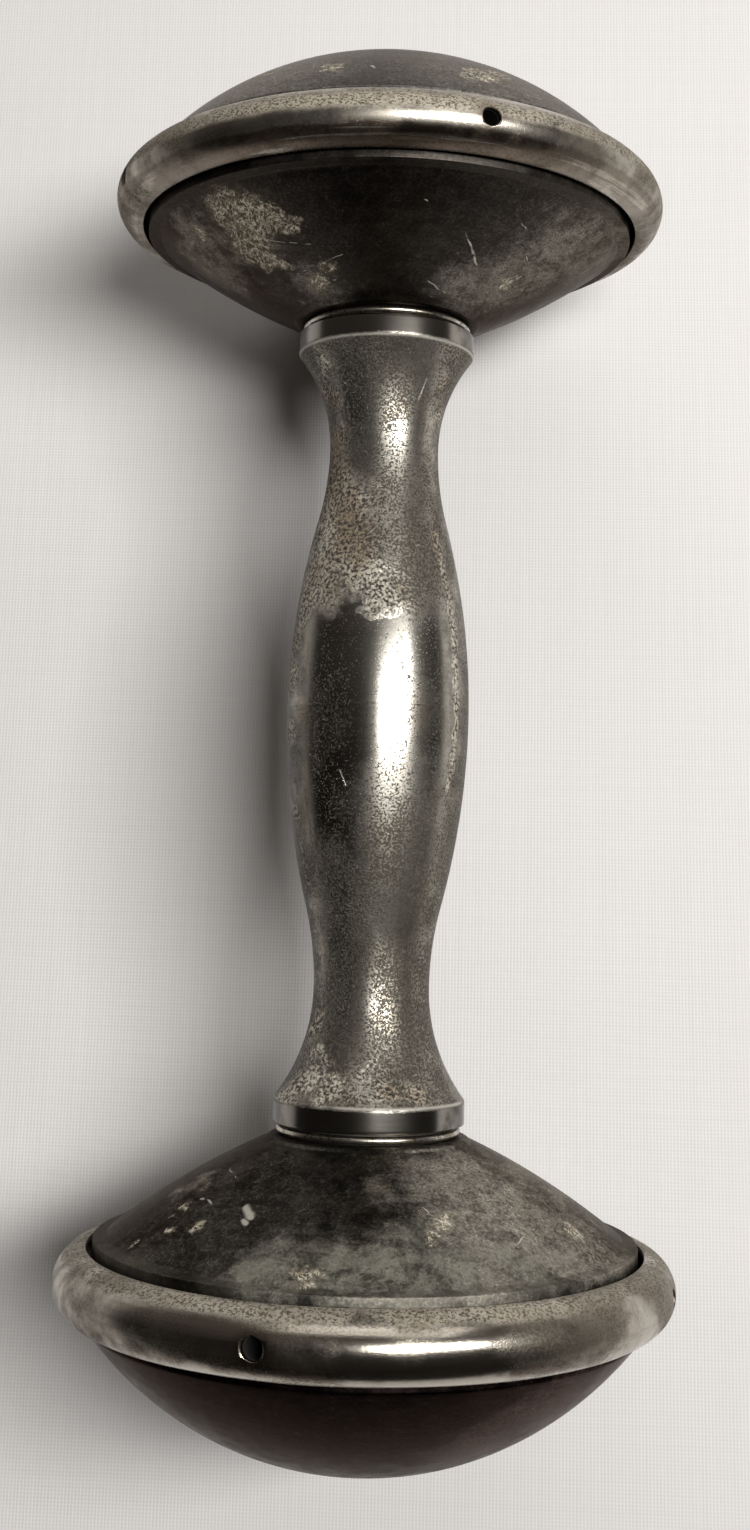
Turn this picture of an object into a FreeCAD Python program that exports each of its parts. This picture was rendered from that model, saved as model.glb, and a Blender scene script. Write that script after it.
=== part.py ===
import FreeCAD, Part
import math
import os
import Sketcher
from FreeCAD import Placement, Rotation, Vector

# A bell dumb-bell for drill exercises: a hollow waisted grip with a bell head at each end.
# Each head has a cone-shaped inner gong, a domed outer gong and a bright hollow ring round the gap
# between them. A hub in the middle of the head holds the ring on four spokes and two strikers on pins.
#
# Frame: millimetres, +Y along the dumb-bell towards head "a", +Z up. It lies on its two rings, and the
# origin is on the surface under its middle. "place" is a distance from the middle along the axis.

DRIVING_SIZES = {
    # rings
    "ring_radius": 41.0,
    "ring_place": 74.7,
    "ring_tube_radius": 4.1,
    "ring_wall": 0.7,
    "ring_hole_radius": 1.35,
    # grip
    "grip_length": 110.4,
    "band_width": 3.0,
    "belly_radius": 12.9,
    "swell_place": 27.0,
    "swell_radius": 9.36,
    "waist_place": 37.8,
    "waist_radius": 7.95,
    "flare_radius": 13.0,
    "grip_wall": 0.8,
    "sleeve_length": 12.0,
    "sleeve_wall": 0.6,
    "sleeve_gap": 0.25,
    # plugs between the grip and the inner gongs
    "plug_depth": 2.0,
    "groove_width": 0.4,
    "groove_radius": 11.7,
    "bead_width": 0.9,
    "bead_radius": 12.45,
    "plug_neck_width": 0.2,
    # gongs
    "gong_wall": 0.9,
    "crown_radius": 12.4,
    "neck_radius": 13.9,
    "neck_height": 0.6,
    "crown_round": 0.2,
    "shoulder_radius": 34.4,
    "shoulder_height": 12.6,
    "cone_bulge": 0.7,
    "ledge_radius": 36.1,
    "ledge_height": 0.3,
    "inner_rim_height": 2.6,
    "dome_radius": 47.4,
    "pole_place": 97.0,
    "pole_flat_radius": 4.2,
    "dome_rim_radius": 36.7,
    "dome_rim_depth": 2.1,
    # rod, tubes and washers on the axis
    "rod_radius": 2.5,
    "bore_gap": 0.05,
    "spacer_radius": 4.0,
    "inner_washer_radius": 6.0,
    "washer_thickness": 1.0,
    "screw_radius": 1.5,
    "screw_bore_gap": 0.15,
    "screw_length": 9.0,
    "screw_head_radius": 3.4,
    "screw_head_height": 0.9,
    "screw_slot_width": 0.8,
    "screw_slot_depth": 0.45,
    # hub and spokes
    "hub_radius": 11.0,
    "hub_thickness": 10.0,
    "spoke_radius": 1.8,
    "spoke_bore_radius": 1.3,
    "spoke_bore_depth": 5.0,
    "spoke_socket_depth": 3.5,
    "spoke_foot_gap": 0.6,
    # strikers
    "pin_radius": 1.0,
    "pin_length": 6.4,
    "pin_reach": 9.0,
    "striker_gap": 0.25,
    "eye_radius": 1.8,
    "arm_thickness": 1.7,
    "arm_half_width": 0.8,
    "arm_end_reach": 25.0,
    "stem_radius": 0.8,
    "stem_root_length": 2.0,
    "stem_depth": 1.5,
    "ball_radius": 3.25,
    "ball_reach": 27.5,
}

# Directions round the axis, in degrees from straight up, clockwise seen from a head's outer end.
HEADS = {
    "a": {"turn": 0.0, "spokes": (22.0, 113.0, 202.0, 293.0), "strikers": (67.5, 247.5)},
    "b": {"turn": 180.0, "spokes": (14.5, 100.5, 194.5, 280.5), "strikers": (57.5, 237.5)},
}

# The cone bulges along its own normal: this share outwards, and this share back along the axis.
CONE_NORMAL = (0.55, 0.84)
# How far the cone's inner skin stands from its outer one: towards the axis and along it, in walls.
NECK_WALL = (0.4, 0.84)
BULGE_WALL = (0.0, 1.2)
SHOULDER_WALL = (0.3, 1.08)
# A point on the round corner of the crown, as a share of the neck's height.
CROWN_CORNER = 0.3
# A point on the screw head's crown, as shares of its radius and its height.
SCREW_CROWN_POINT = (0.72, 0.62)
# Where the slot in each end screw came to rest.
SCREW_DIRECTION = 35.0
# How far a cutter runs on past the face that it opens.
OVERRUN = 1.0

document = FreeCAD.newDocument("bell_dumb_bell")
sheet = document.addObject("Spreadsheet::Sheet", "Sizes")


class Size:
    """A length that keeps the sheet expression it comes from, so that both stay in step."""

    def __init__(self, value, expression):
        self.value = value
        self.expression = expression

    def __add__(self, other):
        other = as_size(other)
        return Size(self.value + other.value, f"({self.expression} + {other.expression})")

    def __sub__(self, other):
        other = as_size(other)
        return Size(self.value - other.value, f"({self.expression} - {other.expression})")

    def __mul__(self, other):
        other = as_size(other)
        return Size(self.value * other.value, f"({self.expression} * {other.expression})")

    def __truediv__(self, other):
        other = as_size(other)
        return Size(self.value / other.value, f"({self.expression} / {other.expression})")


def as_size(number):
    return number if isinstance(number, Size) else Size(float(number), repr(float(number)))


def root(square):
    return Size(math.sqrt(square.value), f"sqrt({square.expression})")


def fill_sheet():
    for row, (name, value) in enumerate(DRIVING_SIZES.items(), start=1):
        sheet.set(f"A{row}", name)
        sheet.set(f"B{row}", str(value))
        sheet.setAlias(f"B{row}", name)
    document.recompute()


def size(name):
    return Size(float(sheet.get(name)), f"Sizes.{name}")


def bind(feature, **sizes):
    """Set each property from its size, and bind it to the sheet."""
    for name, value in sizes.items():
        value = as_size(value)
        setattr(feature, name, value.value)
        feature.setExpression(name, value.expression)


# ---------------------------------------------------------------- sketches and bodies

def origin_plane(body, role):
    return next(item for item in body.Origin.OriginFeatures if item.Role == role)


def new_sketch(body, role, name, turn=0.0, shift=0.0):
    """A sketch on one of the body's own planes, turned about its first axis and shifted off the plane."""
    sketch = body.newObject("Sketcher::SketchObject", f"{body.Name}_{name}")
    sketch.AttachmentSupport = [(origin_plane(body, role), "")]
    sketch.MapMode = "FlatFace"
    turned = Rotation(Vector(1, 0, 0), turn)
    sketch.AttachmentOffset = Placement(turned.multVec(Vector(0, 0, shift)), turned)
    return sketch


def place_vertex(sketch, geometry, position, vertex, label, names):
    """Fix a vertex at its radius (across) and its place (up) with two bound constraints."""
    across, up = vertex
    for kind, value, word in (("DistanceX", across, "radius"), ("DistanceY", up, "place")):
        if value.value == 0.0:
            axis = -2 if kind == "DistanceX" else -1
            sketch.addConstraint(Sketcher.Constraint("PointOnObject", geometry, position, axis))
            continue
        index = sketch.addConstraint(
            Sketcher.Constraint(kind, -1, 1, geometry, position, value.value))
        name = f"{word}_{label}"
        sketch.renameConstraint(index, name)
        names.append((name, value))


def draw_outline(sketch, outline):
    """Draw a closed outline. Each step is a vertex, and a second vertex is what the arc after it passes."""
    steps = [(tuple(map(as_size, step[0])), step[1] and tuple(map(as_size, step[1]))) for step in outline]
    names = []
    ends = []
    for number, (start, through) in enumerate(steps):
        finish = steps[(number + 1) % len(steps)][0]
        first, last = (Vector(point[0].value, point[1].value) for point in (start, finish))
        if through is None:
            geometry = sketch.addGeometry(Part.LineSegment(first, last))
            ends.append((geometry, 1, 2))
            continue
        middle = Vector(through[0].value, through[1].value)
        anticlockwise = (middle - first).cross(last - first).z > 0
        arc = Part.Arc(first, middle, last) if anticlockwise else Part.Arc(last, middle, first)
        geometry = sketch.addGeometry(arc)
        ends.append((geometry, 1, 2) if anticlockwise else (geometry, 2, 1))
        guide = sketch.addGeometry(Part.Point(middle), True)
        sketch.addConstraint(Sketcher.Constraint("PointOnObject", guide, 1, geometry))
        place_vertex(sketch, guide, 1, through, f"through_{number}", names)
    for number, (geometry, start_end, finish_end) in enumerate(ends):
        next_geometry, next_start, _ = ends[(number + 1) % len(ends)]
        sketch.addConstraint(
            Sketcher.Constraint("Coincident", geometry, finish_end, next_geometry, next_start))
        place_vertex(sketch, geometry, start_end, steps[number][0], str(number), names)
    for name, value in names:
        sketch.setExpression(f"Constraints.{name}", value.expression)


def turned_body(label, outline):
    """A body of revolution about the dumb-bell's axis, from vertices of (radius, place)."""
    body = document.addObject("PartDesign::Body", label)
    body.Label = label
    sketch = new_sketch(body, "XY_Plane", "section")
    draw_outline(sketch, outline)
    document.recompute()
    revolution = body.newObject("PartDesign::Revolution", f"{label}_turned")
    revolution.Profile = sketch
    revolution.ReferenceAxis = (sketch, ["V_Axis"])
    revolution.Angle = 360
    body.Tip = revolution
    return body


def lay_in_head(part, head, direction=90.0):
    """Put a part on the axis, at its end of the dumb-bell, with its own +X in the given direction."""
    turn = Rotation(Vector(0, 0, 1), HEADS[head]["turn"])
    roll = Rotation(Vector(0, 1, 0), direction - 90.0)
    height = size("ring_radius")
    part.Placement = Placement(Vector(0, 0, height.value), turn * roll)
    part.setExpression("Placement.Base.z", height.expression)
    return part


# ---------------------------------------------------------------- primitives and booleans

def rod(name, radius, length, start, along):
    """A round rod from a start point along a direction, in a head's own frame."""
    part = document.addObject("Part::Cylinder", name)
    bind(part, Radius=radius, Height=length)
    set_base(part, start, Rotation(Vector(0, 0, 1), along))
    return part


def block(name, length, width, height, corner):
    part = document.addObject("Part::Box", name)
    bind(part, Length=length, Width=width, Height=height)
    set_base(part, corner, Rotation())
    return part


def set_base(part, base, rotation):
    base = [as_size(value) for value in base]
    part.Placement = Placement(Vector(*(value.value for value in base)), rotation)
    for letter, value in zip("xyz", base):
        part.setExpression(f"Placement.Base.{letter}", value.expression)


def fuse(name, parts):
    joined = document.addObject("Part::MultiFuse", name)
    joined.Shapes = parts
    return joined


def cut(label, base, tools):
    part = document.addObject("Part::Cut", label)
    part.Label = label
    part.Base = base
    part.Tool = tools[0] if len(tools) == 1 else fuse(f"{label}_cutters", tools)
    return part


def radial(direction):
    """The unit vector pointing away from the axis, as an angle from a part's own +X."""
    angle = math.radians(direction)
    return Vector(math.cos(angle), 0, -math.sin(angle))


# ---------------------------------------------------------------- the grip

def make_grip_shell(head):
    """One drawn half of the hollow grip: belly, waist, flare and the straight band at its end."""
    wall = size("grip_wall")
    flare_place = size("grip_length") / 2 - size("band_width")
    end_place = size("grip_length") / 2
    swell_middle = size("swell_place") / 2
    waist_middle = (size("swell_place") + size("waist_place")) / 2
    flare_middle = (size("waist_place") + flare_place) / 2
    belly_arc = arc_radius(size("swell_place"), size("belly_radius") - size("swell_radius"))
    waist_arc = arc_radius(size("waist_place") - size("swell_place"),
                           size("swell_radius") - size("waist_radius"))
    flare_arc = arc_radius(flare_place - size("waist_place"),
                           size("flare_radius") - size("waist_radius"))
    belly_through = size("belly_radius") - arc_drop(belly_arc, swell_middle)
    waist_through = size("waist_radius") + arc_drop(waist_arc, size("waist_place") - waist_middle)
    flare_through = size("waist_radius") + arc_drop(flare_arc, flare_middle - size("waist_place"))
    outer = [
        ((size("belly_radius"), 0), (belly_through, swell_middle)),
        ((size("swell_radius"), size("swell_place")), (waist_through, waist_middle)),
        ((size("waist_radius"), size("waist_place")), (flare_through, flare_middle)),
        ((size("flare_radius"), flare_place), None),
        ((size("flare_radius"), end_place), None),
    ]
    inner = [
        ((size("flare_radius") - wall, end_place), None),
        ((size("flare_radius") - wall, flare_place), (flare_through - wall, flare_middle)),
        ((size("waist_radius") - wall, size("waist_place")), (waist_through - wall, waist_middle)),
        ((size("swell_radius") - wall, size("swell_place")), (belly_through - wall, swell_middle)),
        ((size("belly_radius") - wall, 0), None),
    ]
    return lay_in_head(turned_body(f"grip_shell_{head}", outer + inner), head)


def arc_radius(run, rise):
    """The radius of an arc that starts level and rises by this much over this run."""
    return (run * run + rise * rise) / (rise * 2)


def arc_drop(radius, run):
    """How far an arc that starts level has bent away after a run."""
    return radius - root(radius * radius - run * run)


def make_belly_sleeve():
    """The short tube soldered inside the seam where the two grip shells meet."""
    outer_radius = size("belly_radius") - size("grip_wall") - size("sleeve_gap")
    inner_radius = outer_radius - size("sleeve_wall")
    half = size("sleeve_length") / 2
    below = as_size(0) - half
    outline = [
        ((outer_radius, below), None),
        ((outer_radius, half), None),
        ((inner_radius, half), None),
        ((inner_radius, below), None),
    ]
    return lay_in_head(turned_body("belly_sleeve", outline), "a")


def make_end_plug(head):
    """The turned plug that closes the grip: a spigot, a dark groove, a thin bead and a neck."""
    grip_end = size("grip_length") / 2
    bead_start = grip_end + size("groove_width")
    bead_middle = bead_start + size("bead_width") / 2
    bead_end = bead_start + size("bead_width")
    neck_end = gong_face()
    spigot_radius = size("flare_radius") - size("grip_wall") - size("bore_gap")
    bore = size("rod_radius") + size("bore_gap")
    outline = [
        ((bore, grip_end - size("plug_depth")), None),
        ((spigot_radius, grip_end - size("plug_depth")), None),
        ((spigot_radius, grip_end), None),
        ((size("groove_radius"), grip_end), None),
        ((size("groove_radius"), bead_start), (size("bead_radius"), bead_middle)),
        ((size("groove_radius"), bead_end), None),
        ((size("groove_radius"), neck_end), None),
        ((bore, neck_end), None),
    ]
    return lay_in_head(turned_body(f"end_plug_{head}", outline), head)


# ---------------------------------------------------------------- the gongs

def gong_face():
    """Where the inner gong's flat crown starts."""
    return (size("grip_length") / 2 + size("groove_width") + size("bead_width")
            + size("plug_neck_width"))


def make_inner_gong(head):
    """The cone-shaped gong beside the grip: flat crown, bulging cone, flat ledge and straight rim."""
    face = gong_face()
    wall = size("gong_wall")
    neck_place = face + size("neck_height")
    shoulder_place = face + size("shoulder_height")
    ledge_place = shoulder_place + size("ledge_height")
    rim_place = ledge_place + size("inner_rim_height")
    neck = (size("neck_radius"), neck_place)
    shoulder = (size("shoulder_radius"), shoulder_place)
    bulge = ((neck[0] + shoulder[0]) / 2 + size("cone_bulge") * CONE_NORMAL[0],
             (neck[1] + shoulder[1]) / 2 - size("cone_bulge") * CONE_NORMAL[1])
    corner = ((size("crown_radius") + size("neck_radius")) / 2 + size("crown_round"),
              face + size("neck_height") * CROWN_CORNER)
    bore = size("rod_radius") + size("bore_gap")

    def inside(vertex, walls):
        return vertex[0] - wall * walls[0], vertex[1] + wall * walls[1]

    outline = [
        ((bore, face), None),
        ((size("crown_radius"), face), corner),
        (neck, bulge),
        (shoulder, None),
        ((size("ledge_radius"), ledge_place), None),
        ((size("ledge_radius"), rim_place), None),
        ((size("ledge_radius") - wall, rim_place), None),
        ((size("ledge_radius") - wall, ledge_place + wall), None),
        (inside(shoulder, SHOULDER_WALL), inside(bulge, BULGE_WALL)),
        (inside(neck, NECK_WALL), None),
        ((size("crown_radius"), face + wall), None),
        ((bore, face + wall), None),
    ]
    return lay_in_head(turned_body(f"inner_gong_{head}", outline), head)


def dome_place(radius, shell_radius):
    """Where the domed gong's surface stands at a radius from the axis."""
    centre = size("pole_place") - size("dome_radius")
    return centre + root(shell_radius * shell_radius - radius * radius)


def make_outer_gong(head):
    """The domed gong at the end, with a flat round its middle for the washer and the screw."""
    outside = size("dome_radius")
    inside = size("dome_radius") - size("gong_wall")
    flat = size("pole_flat_radius")
    rim = size("dome_rim_radius")
    inner_rim = rim - size("gong_wall")
    halfway = (flat + rim) / 2
    rim_place = dome_place(rim, outside) - size("dome_rim_depth")
    bore = size("screw_radius") + size("screw_bore_gap")
    outline = [
        ((bore, dome_place(flat, outside)), None),
        ((flat, dome_place(flat, outside)), (halfway, dome_place(halfway, outside))),
        ((rim, dome_place(rim, outside)), None),
        ((rim, rim_place), None),
        ((inner_rim, rim_place), None),
        ((inner_rim, dome_place(inner_rim, inside)), (halfway, dome_place(halfway, inside))),
        ((flat, dome_place(flat, inside)), None),
        ((bore, dome_place(flat, inside)), None),
    ]
    return lay_in_head(turned_body(f"outer_gong_{head}", outline), head)


# ---------------------------------------------------------------- the ring

def make_rim_ring(head):
    """The hollow ring: a half-round channel rolled from sheet, open towards the axis, with four holes."""
    top = size("ring_radius")
    wall = size("ring_wall")
    middle = size("ring_place")
    tube = size("ring_tube_radius")
    lip = top - tube
    outline = [
        ((lip, middle - tube), (top, middle)),
        ((lip, middle + tube), None),
        ((lip, middle + tube - wall), (top - wall, middle)),
        ((lip, middle - tube + wall), None),
    ]
    body = turned_body(f"rim_ring_{head}", outline)
    first, second = HEADS[head]["spokes"][:2]
    for number, direction in enumerate((first, second), start=1):
        cut_hole_pair(body, number, direction)
    return lay_in_head(body, head)


def cut_hole_pair(body, number, direction):
    """Drill straight across the ring, which leaves two opposite holes."""
    sketch = new_sketch(body, "YZ_Plane", f"hole_{number}", turn=direction - 90.0)
    circle = sketch.addGeometry(Part.Circle(Vector(size("ring_place").value, 0), Vector(0, 0, 1),
                                            size("ring_hole_radius").value))
    radius = sketch.addConstraint(Sketcher.Constraint("Radius", circle, size("ring_hole_radius").value))
    place = sketch.addConstraint(
        Sketcher.Constraint("DistanceX", -1, 1, circle, 3, size("ring_place").value))
    sketch.addConstraint(Sketcher.Constraint("PointOnObject", circle, 3, -1))
    sketch.renameConstraint(radius, "hole_radius")
    sketch.renameConstraint(place, "hole_place")
    sketch.setExpression("Constraints.hole_radius", size("ring_hole_radius").expression)
    sketch.setExpression("Constraints.hole_place", size("ring_place").expression)
    document.recompute()
    before = body.Shape.Volume
    pocket = body.newObject("PartDesign::Pocket", f"{body.Name}_holes_{number}")
    pocket.Profile = sketch
    pocket.Type = "ThroughAll"
    pocket.SideType = "Symmetric"
    body.Tip = pocket
    document.recompute()
    if not body.Shape.Volume < before:
        raise RuntimeError(f"{pocket.Name} cut nothing")


# ---------------------------------------------------------------- on the axis

def hub_start():
    return size("ring_place") - size("hub_thickness") / 2


def hub_end():
    return size("ring_place") + size("hub_thickness") / 2


def dome_seat():
    """The flat inside the domed gong."""
    return dome_place(size("pole_flat_radius"), size("dome_radius") - size("gong_wall"))


def make_tube(label, head, outer_radius, start, end):
    """A tube on the rod."""
    bore = size("rod_radius") + size("bore_gap")
    outline = [
        ((bore, start), None),
        ((outer_radius, start), None),
        ((outer_radius, end), None),
        ((bore, end), None),
    ]
    return lay_in_head(turned_body(label, outline), head)


def make_axis_tubes(head):
    crown_seat = gong_face() + size("gong_wall")
    washer = size("washer_thickness")
    spacer_radius = size("spacer_radius")
    tubes = (
        ("inner_seat_washer", size("inner_washer_radius"), crown_seat, crown_seat + washer),
        ("inner_spacer", spacer_radius, crown_seat + washer, hub_start()),
        ("outer_spacer", spacer_radius, hub_end(), dome_seat() - washer),
        ("outer_seat_washer", size("pole_flat_radius"), dome_seat() - washer, dome_seat()),
    )
    return [make_tube(f"{name}_{head}", head, radius, start, end) for name, radius, start, end in tubes]


def rod_end():
    return dome_seat() - size("washer_thickness") / 2


def make_tie_rod():
    """The long rod that everything is threaded on, with a tapped hole in each end."""
    length = rod_end() * 2
    low_end = as_size(0) - rod_end()
    depth = size("screw_length")
    hole_radius = size("screw_radius") + size("bore_gap")
    bar = rod("tie_rod_bar", size("rod_radius"), length, (0, low_end, 0), Vector(0, 1, 0))
    tapped = [
        rod("tie_rod_hole_a", hole_radius, depth, (0, rod_end() - depth, 0), Vector(0, 1, 0)),
        rod("tie_rod_hole_b", hole_radius, depth, (0, low_end, 0), Vector(0, 1, 0)),
    ]
    return lay_in_head(cut("tie_rod", bar, tapped), "a")


def make_end_screw(head):
    """A low round-headed screw with a slot, which clamps the domed gong to the rod."""
    seat = dome_place(size("pole_flat_radius"), size("dome_radius"))
    head_radius = size("screw_head_radius")
    head_height = size("screw_head_height")
    crown_point = (head_radius * SCREW_CROWN_POINT[0], seat + head_height * SCREW_CROWN_POINT[1])
    top = seat + head_height
    outline = [
        ((0, top - size("screw_length")), None),
        ((size("screw_radius"), top - size("screw_length")), None),
        ((size("screw_radius"), seat), None),
        ((head_radius, seat), crown_point),
        ((0, top), None),
    ]
    screw = turned_body(f"end_screw_{head}_blank", outline)
    slot_width = size("screw_slot_width")
    slot = block(f"end_screw_{head}_slot", head_radius * 2, size("screw_slot_depth") + OVERRUN, slot_width,
                 (as_size(0) - head_radius, top - size("screw_slot_depth"), as_size(0) - slot_width / 2))
    return lay_in_head(cut(f"end_screw_{head}", screw, [slot]), head, SCREW_DIRECTION)


# ---------------------------------------------------------------- hub, spokes and strikers

def make_spider_hub(head):
    """The hub: a thick disc with two milled slots for the strikers, pin holes and spoke sockets."""
    radius = size("hub_radius")
    thickness = size("hub_thickness")
    along = Vector(0, 1, 0)
    striker_direction = HEADS[head]["strikers"][0]
    label = f"spider_hub_{head}"
    disc = rod(f"{label}_disc", radius, thickness, (0, hub_start(), 0), along)
    cutters = [rod(f"{label}_bore", size("rod_radius") + size("bore_gap"), thickness,
                   (0, hub_start(), 0), along)]
    slot_width = size("arm_thickness") + size("striker_gap") * 2
    slot_floor = size("pin_reach") - size("eye_radius") - size("striker_gap")
    slot_length = radius - slot_floor + OVERRUN
    reach = size("pin_reach")
    pin_start = as_size(0) - size("pin_length") / 2
    socket_start = radius - size("spoke_socket_depth")
    for number, side in enumerate((1, -1), start=1):
        corner_x = slot_floor if side > 0 else as_size(0) - slot_floor - slot_length
        cutters.append(block(f"{label}_slot_{number}", slot_length, thickness, slot_width,
                             (corner_x, hub_start(), as_size(0) - slot_width / 2)))
        cutters.append(rod(f"{label}_pin_hole_{number}", size("pin_radius"), size("pin_length"),
                           (reach * side, size("ring_place"), pin_start), Vector(0, 0, 1)))
    for number, direction in enumerate(HEADS[head]["spokes"], start=1):
        out = radial(direction - striker_direction)
        cutters.append(rod(f"{label}_socket_{number}", size("spoke_radius"),
                           size("spoke_socket_depth") + OVERRUN,
                           (socket_start * out.x, size("ring_place"), socket_start * out.z), out))
    return lay_in_head(cut(label, disc, cutters), head, striker_direction)


def make_spokes(head):
    """Four spokes from the hub to the ring, each with a hollow foot soldered behind a hole."""
    start = size("hub_radius") - size("spoke_socket_depth")
    end = size("ring_radius") - size("ring_wall") - size("spoke_foot_gap")
    spokes = []
    for number, direction in enumerate(HEADS[head]["spokes"], start=1):
        out = radial(direction - 90.0)
        name = f"spoke_{head}_{number}"
        bar = rod(f"{name}_bar", size("spoke_radius"), end - start,
                  (start * out.x, size("ring_place"), start * out.z), out)
        bore_start = end - size("spoke_bore_depth")
        bore = rod(f"{name}_bore", size("spoke_bore_radius"), size("spoke_bore_depth") + OVERRUN,
                   (bore_start * out.x, size("ring_place"), bore_start * out.z), out)
        spokes.append(cut(name, bar, [bore]))
    group = document.addObject("Part::Compound", f"ring_spokes_{head}")
    group.Links = spokes
    return lay_in_head(group, head)


def make_striker(head, number, direction):
    """One striker: a pin in the hub, an arm that swings on it, and a ball on the arm's stem."""
    tag = f"{head}_{number}"
    place = size("ring_place")
    reach = size("pin_reach")
    half_width = size("arm_half_width")
    thickness = size("arm_thickness")
    half_thickness = thickness / 2
    across = Vector(0, 0, 1)
    outward = Vector(1, 0, 0)

    pin_bar = rod(f"striker_pin_{tag}_bar", size("pin_radius"), size("pin_length"),
                  (reach, place, as_size(0) - size("pin_length") / 2), across)
    # The bar's own place is along its hinge, so it is laid in the head through a group of one.
    pin = document.addObject("Part::Compound", f"striker_pin_{tag}")
    pin.Links = [pin_bar]

    low = as_size(0) - half_thickness
    eye = rod(f"striker_eye_{tag}", size("eye_radius"), thickness, (reach, place, low), across)
    blade = block(f"striker_blade_{tag}", size("arm_end_reach") - reach, half_width * 2, thickness,
                  (reach, place - half_width, low))
    stem_start = size("arm_end_reach") - size("stem_root_length")
    stem_end = size("ball_reach") + size("stem_depth")
    stem = rod(f"striker_stem_{tag}", size("stem_radius"), stem_end - stem_start,
               (stem_start, place, 0), outward)
    eye_hole = rod(f"striker_eye_hole_{tag}", size("pin_radius") + size("bore_gap"), thickness,
                   (reach, place, low), across)
    arm = cut(f"striker_arm_{tag}", fuse(f"striker_forging_{tag}", [eye, blade, stem]), [eye_hole])

    ball_blank = document.addObject("Part::Sphere", f"striker_ball_{tag}_blank")
    bind(ball_blank, Radius=size("ball_radius"))
    set_base(ball_blank, (size("ball_reach"), place, 0), Rotation())
    socket_start = size("ball_reach") - size("ball_radius") - OVERRUN
    shank_hole = rod(f"striker_ball_{tag}_hole", size("stem_radius"), stem_end - socket_start,
                     (socket_start, place, 0), outward)
    blade_relief = block(f"striker_ball_{tag}_relief", size("arm_end_reach") - socket_start,
                         half_width * 2, thickness, (socket_start, place - half_width, low))
    ball = cut(f"striker_ball_{tag}", ball_blank, [shank_hole, blade_relief])

    return [lay_in_head(part, head, direction) for part in (pin, arm, ball)]


# ---------------------------------------------------------------- build, check and write

def build_parts():
    parts = [make_belly_sleeve(), make_tie_rod()]
    for head, layout in HEADS.items():
        parts += [
            make_grip_shell(head),
            make_end_plug(head),
            make_inner_gong(head),
            make_outer_gong(head),
            make_rim_ring(head),
            make_spider_hub(head),
            make_spokes(head),
            make_end_screw(head),
        ]
        parts += make_axis_tubes(head)
        for number, direction in enumerate(layout["strikers"], start=1):
            parts += make_striker(head, number, direction)
    document.recompute()
    return parts


def check_document(parts):
    for item in document.Objects:
        if "Invalid" in item.State or "Error" in item.State:
            raise RuntimeError(f"{item.Label} failed: {item.State}")
    for part in parts:
        if part.Shape.isNull() or not part.Shape.isValid():
            raise RuntimeError(f"{part.Label} has no valid shape")


def write_parts(parts):
    os.makedirs("parts", exist_ok=True)
    for part in parts:
        part.Shape.exportStep(f"parts/{part.Label}.step")
        box = part.Shape.BoundBox
        print(f"{part.Label}: {len(part.Shape.Solids)} solid(s), {part.Shape.Volume:.1f} mm3, "
              f"{box.XLength:.1f} x {box.YLength:.1f} x {box.ZLength:.1f} mm")


fill_sheet()
all_parts = build_parts()
check_document(all_parts)
write_parts(all_parts)
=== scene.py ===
import math
import random

import bmesh
import bpy
import numpy as np
from mathutils import Matrix, Vector


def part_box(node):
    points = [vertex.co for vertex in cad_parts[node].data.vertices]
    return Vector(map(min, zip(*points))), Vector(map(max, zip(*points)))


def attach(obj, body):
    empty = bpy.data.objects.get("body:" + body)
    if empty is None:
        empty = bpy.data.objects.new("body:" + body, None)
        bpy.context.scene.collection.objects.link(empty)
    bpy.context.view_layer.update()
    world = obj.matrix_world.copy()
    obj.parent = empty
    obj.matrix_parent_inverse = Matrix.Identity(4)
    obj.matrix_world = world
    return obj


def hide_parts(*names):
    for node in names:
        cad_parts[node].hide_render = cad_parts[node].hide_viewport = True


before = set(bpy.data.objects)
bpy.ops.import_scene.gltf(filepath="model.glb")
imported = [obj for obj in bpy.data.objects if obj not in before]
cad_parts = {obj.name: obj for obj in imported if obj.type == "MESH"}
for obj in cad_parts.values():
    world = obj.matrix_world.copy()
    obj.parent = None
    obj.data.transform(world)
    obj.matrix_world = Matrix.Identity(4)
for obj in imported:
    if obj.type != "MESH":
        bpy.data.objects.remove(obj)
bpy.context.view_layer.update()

# Looks for the bell dumb-bell. Everything is in metres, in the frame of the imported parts: +Y along the
# dumb-bell towards head "a", +Z up, the rings standing on z = 0. A "place" is a distance from the middle
# along the axis. An angle round the axis is in degrees from straight up, towards +X.

MM = 0.001
HEADS = {"a": 1.0, "b": -1.0}


# ------------------------------------------------------------------ sizes, from the frame

RING_LOW, RING_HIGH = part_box("rim_ring_a")
RING_RADIUS = RING_HIGH.x
AXIS_HEIGHT = RING_RADIUS
RING_PLACE = (RING_LOW.y + RING_HIGH.y) / 2
RING_HALF = (RING_HIGH.y - RING_LOW.y) / 2
_, GRIP_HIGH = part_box("grip_shell_a")
FLARE_RADIUS = GRIP_HIGH.x
GRIP_END = GRIP_HIGH.y
PLUG_LOW, PLUG_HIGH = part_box("end_plug_a")
INNER_LOW, INNER_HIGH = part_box("inner_gong_a")
OUTER_LOW, OUTER_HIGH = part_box("outer_gong_a")
SCREW_LOW, SCREW_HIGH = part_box("end_screw_a")

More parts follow.
